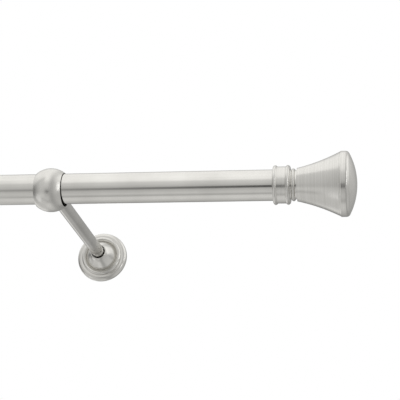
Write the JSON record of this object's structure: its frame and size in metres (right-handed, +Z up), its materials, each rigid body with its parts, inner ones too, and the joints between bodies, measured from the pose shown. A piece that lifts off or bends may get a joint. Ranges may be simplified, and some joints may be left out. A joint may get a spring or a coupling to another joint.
{
  "type": "curtain rod with brackets",
  "caption": "Round metal curtain rod held in ball-shaped bracket rings on thin arms with stepped round wall covers, and a flared trumpet finial at each end.",
  "frame": {"origin": "centre of the four wall screw holes, on the wall plane, midway between the two brackets and level with the rod", "axes": "+X along the rod to its right-hand end, +Z up, +Y into the wall; the rod stands off the wall on the -Y side"},
  "size_m": [1.311, 0.206, 0.052],
  "materials": {
    "satin_nickel": "satin brushed nickel plate",
    "zinc_plate": "bright zinc plate",
    "screw_steel": "plain steel"
  },
  "bodies": {
    "wall_brackets": {"right_wall_plate": "zinc_plate", "right_plate_stud": "zinc_plate", "right_arm": "satin_nickel", "right_ring_stud": "zinc_plate", "right_ring": "satin_nickel", "left_wall_plate": "zinc_plate", "left_plate_stud": "zinc_plate", "left_arm": "satin_nickel", "left_ring_stud": "zinc_plate", "left_ring": "satin_nickel"},
    "rod": {"rod_tube": "satin_nickel"},
    "right_finial": {"right_collar": "satin_nickel", "right_neck": "satin_nickel", "right_trumpet": "satin_nickel", "right_end_cap": "satin_nickel", "right_finial_bolt": "screw_steel"},
    "right_collar_screw": {"right_collar_screw": "screw_steel"},
    "right_ring_screw": {"right_ring_screw": "screw_steel"},
    "right_cover": {"right_cover": "satin_nickel"},
    "left_finial": {"left_collar": "satin_nickel", "left_neck": "satin_nickel", "left_trumpet": "satin_nickel", "left_end_cap": "satin_nickel", "left_finial_bolt": "screw_steel"},
    "left_collar_screw": {"left_collar_screw": "screw_steel"},
    "left_ring_screw": {"left_ring_screw": "screw_steel"},
    "left_cover": {"left_cover": "satin_nickel"}
  },
  "joints": [
    {"name": "rod_slide", "type": "slide", "parent": "wall_brackets", "child": "rod", "axis": [1, 0, 0], "range_m": [-0.17, 0.17]},
    {"name": "right_finial_pull", "type": "slide", "parent": "rod", "child": "right_finial", "axis": [1, 0, 0], "range_m": [0, 0.03]},
    {"name": "right_collar_screw_turn_out", "type": "slide", "parent": "right_finial", "child": "right_collar_screw", "axis": [0, 0, 1], "range_m": [0, 0.004]},
    {"name": "right_ring_screw_turn_out", "type": "slide", "parent": "wall_brackets", "child": "right_ring_screw", "axis": [0, 0.6428, -0.766], "range_m": [0, 0.006]},
    {"name": "right_cover_slide", "type": "slide", "parent": "wall_brackets", "child": "right_cover", "axis": [0, -1, 0], "range_m": [0, 0.138]},
    {"name": "left_finial_pull", "type": "slide", "parent": "rod", "child": "left_finial", "axis": [-1, 0, 0], "range_m": [0, 0.03]},
    {"name": "left_collar_screw_turn_out", "type": "slide", "parent": "left_finial", "child": "left_collar_screw", "axis": [0, 0, 1], "range_m": [0, 0.004]},
    {"name": "left_ring_screw_turn_out", "type": "slide", "parent": "wall_brackets", "child": "left_ring_screw", "axis": [0, 0.6428, -0.766], "range_m": [0, 0.006]},
    {"name": "left_cover_slide", "type": "slide", "parent": "wall_brackets", "child": "left_cover", "axis": [0, -1, 0], "range_m": [0, 0.138]}
  ]
}
